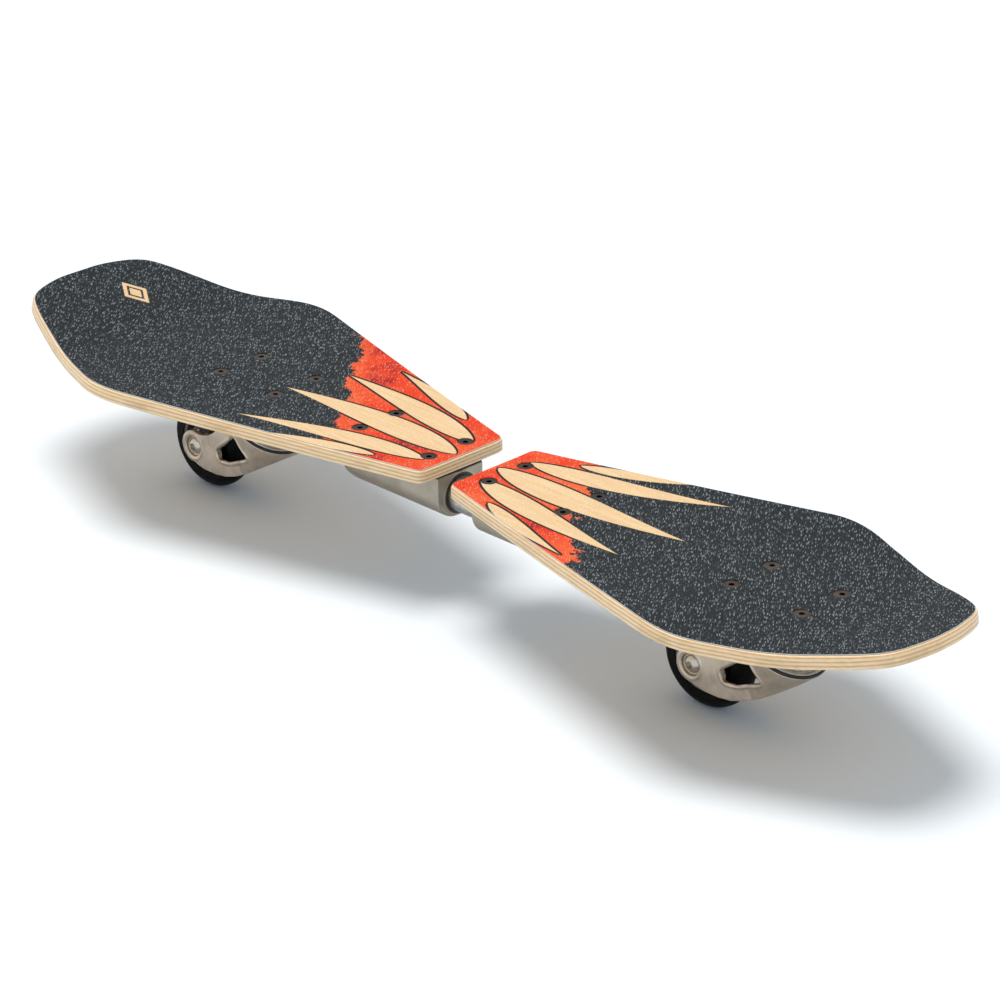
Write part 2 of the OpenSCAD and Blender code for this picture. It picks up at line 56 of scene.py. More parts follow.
# Decks, as the solids have them
JOINT_X = 9.982 * MM
DECK_TOP = 111 * MM
DECK_T = 10 * MM
DECK_START = 14.5 * MM
INNER_W = 86 * MM
LENGTH = {"rear": 453.2 * MM, "front": 433.7 * MM}
WING_W = {"rear": 233.6 * MM, "front": 226.2 * MM}
# Corners of each tip: back from the end, and in from the half width, in millimetres
CORNERS = {
    "rear": [(158.8, 0), (93.3, 24.4), (30.7, 48), (9.6, 61), (0, 92)],
    "front": [(159.4, 0), (112.4, 17.6), (28.4, 54), (7.2, 68.7), (0, 100.8)],
}
INNER_ROUND, TIP_ROUND = 6 * MM, 26 * MM
CONCAVE = 6 * MM
FLAT_Y = 20 * MM
DISH_Y = 114 * MM
DISH_FROM, DISH_TO = 245 * MM, 310 * MM
DISH_LEFT = {"rear": 1.0, "front": 0.0}
KICK_AT = {"rear": 337 * MM, "front": 331 * MM}
KICK_SLOPE = {"rear": 0.25, "front": 0.2}
KICK_BEND = 45 * MM
GRIP_T = 0.8 * MM
GRIP_MARGIN = 1.2 * MM
CASTER_AT = {"rear": 226.6 * MM, "front": 296.6 * MM}
CASTER_PATTERN = (62.5 * MM, 41.5 * MM)
BRACKET_AT = 67.7 * MM
BRACKET_FACE = 17.2 * MM
AXIS_H = 81 * MM
BRACKET_PATTERN = (73.5 * MM, 37 * MM)
HEAD_R = 6 * MM

# Soft edges that the dressed decks have, and the room round a screw's head in wood and sheet
WOOD_EDGE_R, SHEET_EDGE_R = 1.9 * MM, 0.3 * MM
WOOD_ROOM, SHEET_ROOM = 0.2 * MM, 0.25 * MM
HOLE_LOW, HOLE_HIGH = -3 * MM, 8 * MM
SHEET_LOW = 0.05 * MM

# Forks, in millimetres from the screw pattern's middle: the window's corners seen from the side,
# the axle, and the swivel's middle, with its lean in degrees
PIVOT_X = {e: JOINT_X + SIGN[e] * CASTER_AT[e] for e in ENDS}
WINDOW = [(-10, 65), (-38.5, 43.5), (-35, 36.5), (-23, 38), (3.5, 50.6)]
TRAIL, AXLE_H = 66, 38
SWIVEL_X, SWIVEL_H, SWIVEL_LEAN = 2.2, 72.7, 30
# Raised lines on a fork, in millimetres: the window's runs beside its rounded edge, the axle's is
# a ring, and both lie a little sunk in the fork's side
WINDOW_ROUND, WINDOW_STEP = 5, 2.5
WINDOW_BEAD_OFF, WINDOW_BEAD_R = 1.9, 1.25
AXLE_RING_R, AXLE_BEAD_R = 10.3, 0.95
BEAD_SUNK = 0.3
# Farther off the middle than a fork's sides are
FORK_CLEAR = 60 * MM
# The rear bracket's raised ring round the spigot
FACE_RING_R, FACE_BEAD_R = 16.4 * MM, 0.8 * MM
# Section of a swivel's dust lip: radius, and height along the swivel, in millimetres
DUST_LIP = [(31.4, 0.05), (32.3, 0.05), (32.3, 1.2), (31.9, 1.9), (31.4, 1.9)]


# Meshes

def new_object(name, mesh):
    obj = bpy.data.objects.new(name, mesh)
    bpy.context.scene.collection.objects.link(obj)
    return obj


def mesh_object(name, verts, faces):
    mesh = bpy.data.meshes.new(name)
    mesh.from_pydata([tuple(v) for v in verts], [], faces)
    mesh.validate()
    mesh.shade_smooth()
    return new_object(name, mesh)


def apply_modifiers(obj):
    """Puts the result of obj's modifiers in its mesh."""
    graph = bpy.context.evaluated_depsgraph_get()
    mesh = bpy.data.meshes.new_from_object(obj.evaluated_get(graph))
    obj.modifiers.clear()
    obj.data = mesh


def join(*objs):
    """One object from several, through one mesh."""
    bm = bmesh.new()
    for obj in objs:
        bm.from_mesh(obj.data)
    mesh = bpy.data.meshes.new(objs[0].name)
    bm.to_mesh(mesh)
    bm.free()
    name = objs[0].name
    for obj in objs:
        bpy.data.objects.remove(obj)
    return new_object(name, mesh)


def cut(obj, tool):
    """Takes tool away from obj."""
    mod = obj.modifiers.new("cut", "BOOLEAN")
    mod.operation = "DIFFERENCE"
    mod.solver = "EXACT"
    mod.object = tool
    apply_modifiers(obj)
    bpy.data.objects.remove(tool)


def circle(steps):
    """Angles once round, in even steps."""
    return [2 * math.pi * k / steps for k in range(steps)]


def lathe(name, profile, centre, axis=(0, 0, 1), steps=64):
    """A closed solid of revolution: profile is (radius, height) pairs, and closes on itself."""
    turn = Vector((0, 0, 1)).rotation_difference(Vector(axis)).to_matrix()
    verts, faces, n = [], [], len(profile)
    for a in circle(steps):
        for r, h in profile:
            verts.append(Vector(centre) + turn @ Vector((r * math.cos(a), r * math.sin(a), h)))
    for k in range(steps):
        for i in range(n):
            a, b = k * n, (k + 1) % steps * n
            j = (i + 1) % n
            faces.append((a + i, b + i, b + j, a + j))
    return mesh_object(name, verts, faces)


def tube(name, points, radius, around=(0, 1, 0)):
    """A closed ring of round section through points, in a plane about square to around."""
    verts, faces, n, sides = [], [], len(points), 10
    for i, p in enumerate(points):
        along = (points[(i + 1) % n] - points[i - 1]).normalized()
        side = along.cross(Vector(around)).normalized()
        up = side.cross(along)
        for a in circle(sides):
            verts.append(p + radius * (math.cos(a) * side + math.sin(a) * up))
    for i in range(n):
        a, b = i * sides, (i + 1) % n * sides
        for k in range(sides):
            j = (k + 1) % sides
            faces.append((a + k, b + k, b + j, a + j))
    return mesh_object(name, verts, faces)


# Shader nodes

class Shader:
    """A material with one Principled shader, and short ways to add nodes to it."""

    def __init__(self, name, **sockets):
        self.material = bpy.data.materials.new(name)
        self.material.use_nodes = True
        self.tree = self.material.node_tree
        self.bsdf = self.tree.nodes["Principled BSDF"]
        self.place = self.tree.nodes.new("ShaderNodeTexCoord").outputs["Object"]
        for socket, value in sockets.items():
            self.bsdf.inputs[socket.replace("_", " ")].default_value = value

    def node(self, kind, links=(), **settings):
        node = self.tree.nodes.new("ShaderNode" + kind)
        for key, value in settings.items():
            setattr(node, key, value)
        for socket, value in dict(links).items():
            if isinstance(value, bpy.types.NodeSocket):
                self.tree.links.new(value, node.inputs[socket])
            else:
                node.inputs[socket].default_value = value
        return node

    def stretch(self, size, turn=0.0):
        """Coordinates that make a pattern size times as large, along axes turned about Z."""
        links = {"Vector": self.place, "Scale": size, "Rotation": (0, 0, turn)}
        return self.node("Mapping", links, vector_type="TEXTURE").outputs[0]

    def noise(self, scale, detail=2.0, rough=0.5, vector=None):
        links = {"Vector": vector or self.place, "Scale": scale, "Detail": detail}
        return self.node("TexNoise", {**links, "Roughness": rough}).outputs["Fac"]

    def math(self, operation, a, b=0.0, c=0.0):
        return self.node("Math", {0: a, 1: b, 2: c}, operation=operation).outputs[0]

    def fit(self, value, low, high, to_low=0.0, to_high=1.0):
        """value carried from low..high to to_low..to_high, held at both ends."""
        ends = {"From Min": low, "From Max": high, "To Min": to_low, "To Max": to_high}
        return self.node("MapRange", {"Value": value, **ends}).outputs[0]

    def mix(self, factor, a, b):
        """From colour a to colour b. The node's colours are inputs 6 and 7, and output 2."""
        node = self.node("Mix", {"Factor": factor}, data_type="RGBA")
        for socket, value in ((6, a), (7, b)):
            if isinstance(value, bpy.types.NodeSocket):
                self.tree.links.new(value, node.inputs[socket])
            else:
                node.inputs[socket].default_value = (*value, 1)
        return node.outputs[2]

    def bump(self, height, distance, strength):
        links = {"Height": height, "Distance": distance, "Strength": strength}
        return self.node("Bump", links).outputs[0]

    def connect(self, **sockets):
        for socket, value in sockets.items():
            self.tree.links.new(value, self.bsdf.inputs[socket.replace("_", " ")])
        return self


def linear(r, g, b):
    """A shader colour from 0..255 screen values."""
    parts = (c / 255 for c in (r, g, b))
    return tuple(((c + 0.055) / 1.055) ** 2.4 if c > 0.04 else c / 12.92 for c in parts)


# Colours of the decks: the faces and the edge's plies, then the bare motifs, then the sheet
MAPLE_PALE = linear(240, 210, 168)
MAPLE_DARK = linear(216, 178, 132)
LONG_PLY = linear(250, 222, 180), linear(240, 204, 154)
CROSS_PLY = linear(228, 180, 126), linear(206, 156, 104)
# Darker patches on the edge: partly stain, partly painted shade on its lower part
PLY_STAIN_AND_SHADE = linear(188, 146, 98)
PLIES = 7
MAPLE_BARE = linear(238, 200, 152)
MAPLE_BARE_DARK = linear(226, 184, 134)
# Painted glints of the grit over bare maple
MAPLE_GLINT = linear(252, 226, 190)
SLATE = linear(27, 30, 32)
SLATE_DARK = linear(20, 24, 27)
SLATE_MID = linear(76, 81, 83)
# Painted glints of the grit over slate
GRIT_GLINT = linear(152, 157, 158)
ORANGE = linear(240, 104, 56)
RED = linear(230, 62, 26)
RED_DEEP = linear(168, 36, 30)
# Painted glints of the grit over red
RED_GLINT = linear(252, 158, 124)
# Painted highlight along the sheet's rounded cut edge
SHEET_EDGE_HIGHLIGHT = linear(222, 216, 208)


def wood_grain(shader, pale, dark):
    """Straight fine grain along the board."""
    streaks = shader.noise(330, 4, 0.6, shader.stretch((18, 1, 1)))
    pores = shader.noise(1100, 2, 0.5, shader.stretch((26, 1, 1)))
    value = shader.math("MULTIPLY_ADD", pores, 0.35, shader.math("MULTIPLY", streaks, 0.75))
    return shader.mix(shader.fit(value, 0.42, 0.68), pale, dark)


def maple_material():
    """Clear-coated maple: grain on the faces, and the plies along the edge."""
    shader = Shader("maple", Roughness=0.42, Coat_Weight=0.25, Coat_Roughness=0.25)
    face = wood_grain(shader, MAPLE_PALE, MAPLE_DARK)
    depth = shader.node("Attribute", attribute_name="depth").outputs["Fac"]
    wobble = shader.math("MULTIPLY_ADD", shader.noise(14, 3), 0.2, depth)
    plies = shader.math("SINE", shader.math("MULTIPLY", wobble, PLIES * math.pi))
    fibre = shader.noise(420, 3, 0.6, shader.stretch((6, 1, 0.6)))
    streak = shader.fit(fibre, 0.3, 0.7)
    long_ply = shader.mix(streak, *LONG_PLY)
    cross_ply = shader.mix(streak, *CROSS_PLY)
    edge = shader.mix(shader.fit(plies, -0.9, 0.2), cross_ply, long_ply)
    # Darker patches, none at the top of the edge and most on its lower part: partly stain, partly
    # painted shade
    stain_and_shade = shader.fit(shader.noise(26, 3, 0.6), 0.52, 0.72, 0.0, 0.55)
    stain_and_shade = shader.math("MULTIPLY", stain_and_shade, shader.fit(depth, 0.1, 0.5))
    edge = shader.mix(stain_and_shade, edge, PLY_STAIN_AND_SHADE)
    on_edge = shader.node("Attribute", attribute_name="rim").outputs["Fac"]
    colour = shader.mix(on_edge, face, edge)
    normal = shader.bump(fibre, 0.00005, 0.5)
    return shader.connect(Base_Color=colour, Normal=normal).material


def blade(shader, x, y, start, angle, length, width, curve):
    """How far a point lies inside one leaf-shaped blade, in metres. curve bends it sideways."""
    c, s = math.cos(angle), math.sin(angle)
    dx = shader.math("SUBTRACT", x, start[0])
    dy = shader.math("SUBTRACT", y, start[1])
    along = shader.math("MULTIPLY_ADD", dx, c / length, shader.math("MULTIPLY", dy, s / length))
    v = shader.math("MULTIPLY_ADD", dy, c, shader.math("MULTIPLY", dx, -s))
    u = shader.math("MAXIMUM", shader.math("MINIMUM", along, 1.0), 0.0)
    past = shader.math("ABSOLUTE", shader.math("SUBTRACT", along, u))
    bend = shader.math("MULTIPLY", shader.math("MULTIPLY", u, u), curve)
    off = shader.math("ABSOLUTE", shader.math("SUBTRACT", v, bend))
    bulge = shader.math("SINE", shader.math("MULTIPLY", shader.math("POWER", u, 0.65), math.pi))
    out = shader.math("MULTIPLY_ADD", past, length, off)
    return shader.math("MULTIPLY_ADD", bulge, width / 2, shader.math("MULTIPLY", out, -1))


# The design, in millimetres. Blades, on both decks: start (from the joint, and off the middle),
# angle in degrees, length, width and bend
BLADES = [
    ((20, 2), -5, 178, 27, 20),
    ((30, 25), 7, 160, 20, 24),
    ((26, -21), -13, 156, 22, 14),
    ((60, 46), 15, 104, 12, 14),
    ((58, -46), -20, 100, 12, 8),
]
# Width of the dark outline round a motif
OUTLINE = 2.2
# The red field: a slanting band, by its slope, its middle and its half width
FIELD_SLANT = 0.8
FIELD_MIDDLE = -6
FIELD_HALF = 127
# The whole length over which the field's torn ends wander
FIELD_TORN = 110
# The badge: its middle and its half diagonals, and its dark line as shares of them
BADGE_AT = (-396, 19)
BADGE_SIZE = (17, 11)
BADGE_LINE, BADGE_LINE_HALF = 0.56, 0.09


def design(shader, x, y):
    """How far a point lies inside a bare maple motif and inside the red field, both in metres."""
    from_joint = shader.math("SUBTRACT", x, JOINT_X)
    u = shader.math("ABSOLUTE", from_joint)
    v = shader.math("MULTIPLY", y, shader.math("SIGN", from_joint))
    inside = None
    for start, angle, length, width, curve in BLADES:
        place = (start[0] * MM, start[1] * MM)
        value = blade(shader, u, v, place, math.radians(angle), length * MM, width * MM, curve * MM)
        inside = value if inside is None else shader.math("MAXIMUM", inside, value)

    # The badge: a plain lozenge with a dark line in it
    across = []
    for a, at, size in zip((x, y), BADGE_AT, BADGE_SIZE):
        off = shader.math("ABSOLUTE", shader.math("SUBTRACT", a, at * MM))
        across.append(shader.math("DIVIDE", off, size * MM))
    out = shader.math("ADD", *across)
    line = shader.math("ABSOLUTE", shader.math("SUBTRACT", out, BADGE_LINE))
    line = shader.math("SUBTRACT", line, BADGE_LINE_HALF)
    lozenge = shader.math("MINIMUM", shader.math("SUBTRACT", 1.0, out), line)
    inside = shader.math("MAXIMUM", inside, shader.math("MULTIPLY", lozenge, BADGE_SIZE[1] * MM))

    # The field, with torn ends that leave small islands
    torn = shader.noise(30, 7, 0.7)
    ragged = shader.math("MULTIPLY_ADD", torn, FIELD_TORN * MM, -FIELD_TORN / 2 * MM)
    from_middle = shader.math("SUBTRACT", x, FIELD_MIDDLE * MM)
    slant = shader.math("MULTIPLY_ADD", y, FIELD_SLANT, from_middle)
    reach = shader.math("ABSOLUTE", shader.math("ADD", slant, ragged))
    return inside, shader.math("SUBTRACT", FIELD_HALF * MM, reach)


def grip_material():
    """Gritty sheet: slate, with a painted red field round the joint and bare maple motifs over
    it. Its grit has painted glints, and its cut edge a painted highlight."""
    shader = Shader("grip", Specular_IOR_Level=0.12)
    split = shader.node("SeparateXYZ", {"Vector": shader.place})
    motif, field = design(shader, split.outputs["X"], split.outputs["Y"])

    # Grit: one short slanting painted glint to a cell, over a dark ground
    slanting = shader.stretch((4.6, 1, 1), math.radians(126))
    cells = shader.node("TexVoronoi", {"Vector": slanting, "Scale": 900})
    chance = shader.node("SeparateXYZ", {"Vector": cells.outputs["Color"]})
    near = shader.fit(cells.outputs["Distance"], 0.12, 0.46, 1.0, 0.0)
    glint = shader.math("MULTIPLY", near, shader.fit(chance.outputs["X"], 0.1, 0.85, 0.12, 1.0))
    grit = shader.noise(900, 1, 0.5)
    haze = shader.fit(grit, 0.4, 0.65, 0.0, 0.2)
    deep = shader.fit(grit, 0.3, 0.46, 0.8, 0.0)
    fine = shader.noise(1500, 1, 0.5)

    slate = shader.mix(haze, SLATE, SLATE_MID)
    slate = shader.mix(deep, slate, SLATE_DARK)
    slate = shader.mix(glint, slate, GRIT_GLINT)

    cloud = shader.noise(15, 4, 0.62)
    red = shader.mix(shader.fit(cloud, 0.36, 0.52), ORANGE, RED)
    red = shader.mix(shader.fit(cloud, 0.54, 0.62), red, RED_DEEP)
    red = shader.mix(shader.fit(field, 0.0, 0.03, 0.6, 0.0), red, ORANGE)
    # Painted glints of the grit over red
    red = shader.mix(glint, red, RED_GLINT)
    red = shader.mix(shader.math("MULTIPLY", deep, 0.5), red, RED_DEEP)
    painted = shader.fit(field, 0.0, 0.0006)
    colour = shader.mix(painted, slate, red)

    # Each motif is bare, with a dark outline against the red
    ragged = shader.math("MULTIPLY_ADD", fine, 0.0006, motif)
    outline = shader.fit(ragged, (0.3 - OUTLINE) * MM, (0.9 - OUTLINE) * MM)
    colour = shader.mix(shader.math("MULTIPLY", outline, painted), colour, SLATE_DARK)
    bare = shader.fit(ragged, 0.0001, 0.0007)
    wood = wood_grain(shader, MAPLE_BARE, MAPLE_BARE_DARK)
    # Painted glints of the grit over bare maple
    wood = shader.mix(shader.math("MULTIPLY", glint, 0.6), wood, MAPLE_GLINT)
    colour = shader.mix(bare, colour, wood)

    # A painted highlight along the sheet's cut edge
    edge_highlight = shader.node("Attribute", attribute_name="rim").outputs["Fac"]
    colour = shader.mix(shader.math("MULTIPLY", edge_highlight, 0.8), colour, SHEET_EDGE_HIGHLIGHT)
    share = shader.fit(bare, 0, 1, 1.0, 0.5)
    height = shader.math("MULTIPLY", share, shader.math("ADD", near, grit))
    height = shader.math("MULTIPLY_ADD", fine, 0.25, height)
    normal = shader.bump(height, 0.0004, 0.6)
    roughness = shader.fit(bare, 0, 1, 0.7, 0.45)
    return shader.connect(Base_Color=colour, Normal=normal, Roughness=roughness).material


def casting_material(name, pale, dark):
    """Satin aluminium casting with faint blotches and a fine skin."""
    shader = Shader(name, Metallic=0.85)
    blotch = shader.noise(55, 4, 0.6)
    skin = shader.noise(1400, 2, 0.6)
    colour = shader.mix(shader.fit(blotch, 0.35, 0.65), pale, dark)
    rough = shader.fit(blotch, 0.3, 0.7, 0.36, 0.5)
    normal = shader.bump(skin, 0.0001, 0.35)
    return shader.connect(Base_Color=colour, Roughness=rough, Normal=normal).material


def plain_metal(name, colour, darker, roughness):
    """Turned or plated metal with a fine uneven skin."""
    shader = Shader(name, Metallic=1.0)
    patch = shader.noise(100, 3, 0.6)
    tint = shader.mix(shader.fit(patch, 0.35, 0.65), colour, darker)
    skin = shader.noise(900, 2, 0.6)
    rough = shader.fit(skin, 0.3, 0.7, roughness - 0.04, roughness + 0.08)
    return shader.connect(Base_Color=tint, Roughness=rough).material


def soft_black(name, colour, darker, roughness, grain, depth, gloss=0.5):
    """Rubber, urethane or moulded plastic with a faint skin."""
    shader = Shader(name, Specular_IOR_Level=gloss)
    patch = shader.noise(grain / 12, 3, 0.6)
    tint = shader.mix(shader.fit(patch, 0.35, 0.65), colour, darker)
    rough = shader.fit(patch, 0.3, 0.7, roughness, roughness + 0.12)
    normal = shader.bump(shader.noise(grain, 2, 0.6), depth, 0.6)
    return shader.connect(Base_Color=tint, Roughness=rough, Normal=normal).material


# Castings by pale and dark colour; metals by colour, darker patches and roughness; and blacks by
# colour, other patches, roughness, grain, its depth in metres, and gloss where it isn't the usual
CASTINGS = {
    "cast_aluminium": ((202, 188, 171), (172, 159, 143)),
    # The brackets' casting: the same metal made darker, as painted shade from the decks over them
    "shaded_housing_aluminium": ((168, 158, 144), (156, 146, 132)),
}
METALS = {
    "bright_steel": ((200, 198, 196), (176, 174, 172), 0.28),
    "zinc_steel": ((198, 192, 182), (172, 165, 153), 0.24),
    "polished_steel": ((222, 222, 224), (200, 200, 204), 0.14),
    "bronze": ((190, 148, 88), (160, 120, 70), 0.4),
    "spring_steel": ((98, 100, 108), (78, 80, 86), 0.35),
    "black_screw_steel": ((56, 52, 49), (36, 33, 31), 0.42),
    "brown_screw_steel": ((84, 72, 65), (66, 56, 50), 0.5),
}
BLACKS = {
    "black_rubber": ((26, 26, 26), (34, 34, 34), 0.6, 1600, 0.0001),
    "seal_rubber": ((58, 54, 50), (44, 41, 38), 0.4, 1200, 0.00005),
    "tyre_urethane": ((9, 8, 8), (14, 13, 13), 0.42, 700, 0.00005, 0.08),
    "hub_plastic": ((96, 96, 98), (82, 82, 84), 0.45, 1200, 0.00008),
}
MATERIALS = {"maple": maple_material(), "grip_sheet": grip_material()}
for kind, rows in ((casting_material, CASTINGS), (plain_metal, METALS), (soft_black, BLACKS)):
    for name, (colour, other, *rest) in rows.items():
        MATERIALS[name] = kind(name, linear(*colour), linear(*other), *rest)


# Decks

# A rounded plan corner takes up at most this share of each of its sides
BEND_REACH = 0.48
# How fine the meshes are: steps of a rounded plan corner, the plan's longest step, points
# across, and steps of a rounded edge
BEND_STEPS = 6
SHEET_STEP = 6 * MM
SHEET_COLUMNS = 30
EDGE_STEPS = 5


def rise(end, d, y):
    """Height of a deck's top face over its flat middle, at distance d from the joint."""
    over = max(0, d - KICK_AT[end])
    bent = over ** 2 / (2 * KICK_BEND) if over < KICK_BEND else over - KICK_BEND / 2
    t = min(1, max(0, (d - DISH_FROM) / (DISH_TO - DISH_FROM)))
    keep = DISH_LEFT[end]
    dish = CONCAVE * (keep + (1 - keep) * (1 + math.cos(math.pi * t)) / 2)
    return KICK_SLOPE[end] * bent + dish * (max(0, abs(y) - FLAT_Y) / (DISH_Y - FLAT_Y)) ** 2


def over_top(end, d, y, height):
    """Point over a deck's top face, square to it."""
    e = 0.5 * MM
    slope_d = (rise(end, d + e, y) - rise(end, d - e, y)) / (2 * e)
    slope_y = (rise(end, d, y + e) - rise(end, d, y - e)) / (2 * e)
    normal = Vector((-slope_d, -slope_y, 1)).normalized()
    d, y, z = Vector((d, y, DECK_TOP + rise(end, d, y))) + normal * height
    return Vector((JOINT_X + SIGN[end] * d, y, z))


def bend(a, b, c, radius):
    """Points that round the corner b between a and c, from radius before it to radius after it."""
    a, b, c = (Vector(p) for p in (a, b, c))
    p = b.lerp(a, min(radius / (a - b).length, BEND_REACH))
    q = b.lerp(c, min(radius / (c - b).length, BEND_REACH))
    turns = [k / BEND_STEPS for k in range(BEND_STEPS + 1)]
    return [(1 - t) ** 2 * p + 2 * t * (1 - t) * b + t * t * q for t in turns]


def half_outline(end):
    """(distance from the joint, half width) round one side of a deck."""
    half = WING_W[end] / 2
    line = [(DECK_START, 0), (DECK_START, INNER_W / 2)]
    line += [(LENGTH[end] - a * MM, half - b * MM) for a, b in CORNERS[end]] + [(LENGTH[end], 0)]
    points = []
    for i in range(1, len(line) - 1):
        points += bend(*line[i - 1:i + 2], INNER_ROUND if i == 1 else TIP_ROUND)
    return points


def dense(points, step):
    """The same line with no stretch longer than step, and no point twice."""
    out = [Vector(points[0])]
    for b in points[1:]:
        a = out[-1]
        n = math.ceil((b - a).length / step - 1e-6)
        out += [a.lerp(b, k / n) for k in range(1, n + 1)]
    return out


def outward(points):
    """Unit normals of the half outline, square to the board at its two blunt ends."""
    normals = []
    for i, p in enumerate(points):
        a = points[i - 1] if i else (p[0], 0)
        b = points[i + 1] if i + 1 < len(points) else (p[0], 0)
        n = Vector((-(b[1] - a[1]), b[0] - a[0]))
        normals.append(n.normalized())
    return normals


def sheet_mesh(name, end, inset, low, high, edge_r):
    """A dished and bent sheet in a deck's plan, from low to high over the top face, with round
    edges. Its attribute depth runs from 0 at the top to 1 underneath, and rim is 1 on the edge."""
    outline = dense(half_outline(end), SHEET_STEP)
    normals = outward(outline)
    n, m = len(outline), SHEET_COLUMNS
    turns = [math.pi / 2 * k / EDGE_STEPS for k in range(EDGE_STEPS + 1)]
    rings = [(edge_r * (1 - math.sin(a)), high - edge_r * (1 - math.cos(a))) for a in turns]
    rings += [(edge_r * (1 - math.cos(a)), low + edge_r * (1 - math.sin(a))) for a in turns]

    def point(i, t, extra, over):
        d, w = outline[i] - normals[i] * (inset + extra)
        return over_top(end, d, w * t, over)

    verts, faces, depth, rim = [], [], [], []
    across = [math.sin(math.pi / 2 * (2 * j / (m - 1) - 1)) for j in range(m)]
    for extra, over in (rings[0], rings[-1]):
        for i in range(n):
            for t in across:
                verts.append(point(i, t, extra, over))
                depth.append(0.0 if over > (low + high) / 2 else 1.0)
                rim.append(0.0)
    top = [[i * m + j for j in range(m)] for i in range(n)]
    under = [[n * m + i * m + j for j in range(m)] for i in range(n)]
    for i in range(n - 1):
        for j in range(m - 1):
            faces.append((top[i][j], top[i + 1][j], top[i + 1][j + 1], top[i][j + 1]))
            faces.append((under[i][j], under[i][j + 1], under[i + 1][j + 1], under[i + 1][j]))
    border = [(0, j) for j in range(m - 1)] + [(i, m - 1) for i in range(n - 1)]
    border += [(n - 1, j) for j in range(m - 1, 0, -1)] + [(i, 0) for i in range(n - 1, 0, -1)]
    last = [top[i][j] for i, j in border]
    for extra, over in rings[1:-1]:
        here = []
        for i, j in border:
            here.append(len(verts))
            verts.append(point(i, across[j], extra, over))
            depth.append((high - over) / (high - low))
            rim.append(1.0)
        for a in range(len(border)):
            b = (a + 1) % len(border)
            faces.append((last[a], last[b], here[b], here[a]))
        last = here
    for a in range(len(border)):
        b = (a + 1) % len(border)
        (i, j), (k, l) = border[a], border[b]
        faces.append((last[a], last[b], under[k][l], under[i][j]))
    if SIGN[end] > 0:
        faces = [f[::-1] for f in faces]
    obj = mesh_object(name, verts, faces)
    for key, values in (("depth", depth), ("rim", rim)):
        obj.data.attributes.new(key, "FLOAT", "POINT").data.foreach_set("value", values)
    return obj


def screw_places(end):
    """Where a deck's eight screws pass the flat part of its top face."""
    for at, (px, py) in ((CASTER_AT[end], CASTER_PATTERN), (BRACKET_AT, BRACKET_PATTERN)):
        for x in (-px / 2, px / 2):
            for y in (-py / 2, py / 2):
                yield Vector((JOINT_X + SIGN[end] * (at + x), y, DECK_TOP))


def screw_holes(end, room):
    """Cutters for the eight screw heads, joined in one object."""
    radius = HEAD_R + room
    profile = [(0, HOLE_LOW), (radius, HOLE_LOW), (radius, HOLE_HIGH), (0, HOLE_HIGH)]
    return join(*[lathe("hole", profile, p, steps=40) for p in screw_places(end)])


def make_deck(end):
    """One deck's wood and its gritty sheet."""
    wood = sheet_mesh(end + "_board", end, 0, -DECK_T, 0, WOOD_EDGE_R)
    cut(wood, screw_holes(end, WOOD_ROOM))
    sheet = sheet_mesh(end + "_gritty_sheet", end, GRIP_MARGIN, SHEET_LOW, GRIP_T, SHEET_EDGE_R)
    cut(sheet, screw_holes(end, SHEET_ROOM))
    for obj, node, slot in ((wood, "deck", "maple"), (sheet, "grip", "grip_sheet")):
        obj.data.materials.append(MATERIALS[slot])
        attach(obj, end + "_half")
        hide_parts(f"{end}_{node}")


# Castings

# The grid on which each kind of casting is rounded, and how often it is smoothed
HOUSING_GRID, WEDGE_GRID, FORK_GRID = 0.6 * MM, 0.8 * MM, 0.5 * MM
SMOOTH_PASSES = 4


def cast_piece(name, node, body, grid, extra=(), finish="cast_aluminium"):
    """A copy of a solid with the soft edges of a casting, and what extra pieces add to it."""
    obj = new_object(name, NODES[node].data.copy())
    obj.data.materials.clear()
    if extra:
        obj = join(obj, *extra)
    remesh = obj.modifiers.new("remesh", "REMESH")
    remesh.mode = "VOXEL"
    remesh.voxel_size = grid
    smooth = obj.modifiers.new("smooth", "SMOOTH")
    smooth.factor = 0.5
    smooth.iterations = SMOOTH_PASSES
    apply_modifiers(obj)
    obj.data.shade_smooth()
    obj.data.materials.append(MATERIALS[finish])
    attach(obj, body)
    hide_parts(node)


def around_window():
    """Points beside a fork's window, in millimetres, seen from the side."""
    corners = [Vector(p) for p in WINDOW]
    n = len(corners)
    rim = []
    for i in range(n):
        rim += bend(corners[i - 1], corners[i], corners[(i + 1) % n], WINDOW_ROUND)
    rim = dense(rim + rim[:1], WINDOW_STEP)[:-1]
    n = len(rim)
    points = []
    for i, p in enumerate(rim):
        a, b = rim[i - 1], rim[(i + 1) % n]
        points.append(p + WINDOW_BEAD_OFF * Vector((b.y - a.y, a.x - b.x)).normalized())
    return points


def around_axle():
    """Points round a fork's axle recess, in millimetres, seen from the side."""
    middle = Vector((-TRAIL, AXLE_H))
    return [middle + AXLE_RING_R * Vector((math.cos(a), math.sin(a))) for a in circle(48)]


def raised_lines(end):
    """The beads that stand out of a fork's sides: round the window, and round the axle's recess."""
    solid = NODES[end + "_fork"].data
    points = [v.co for v in solid.vertices]
    tree = BVHTree.FromPolygons(points, [p.vertices for p in solid.polygons])
    beads = []
    for line, radius in ((around_window(), WINDOW_BEAD_R), (around_axle(), AXLE_BEAD_R)):
        for side in (-1, 1):
            path = []
            for p in line:
                start = Vector((PIVOT_X[end] + p.x * MM, side * FORK_CLEAR, p.y * MM))
                hit = tree.ray_cast(start, Vector((0, -side, 0)))[0]
                path.append(hit - Vector((0, side * BEAD_SUNK * MM, 0)))
            beads.append(tube("bead", path, radius * MM))
    return beads


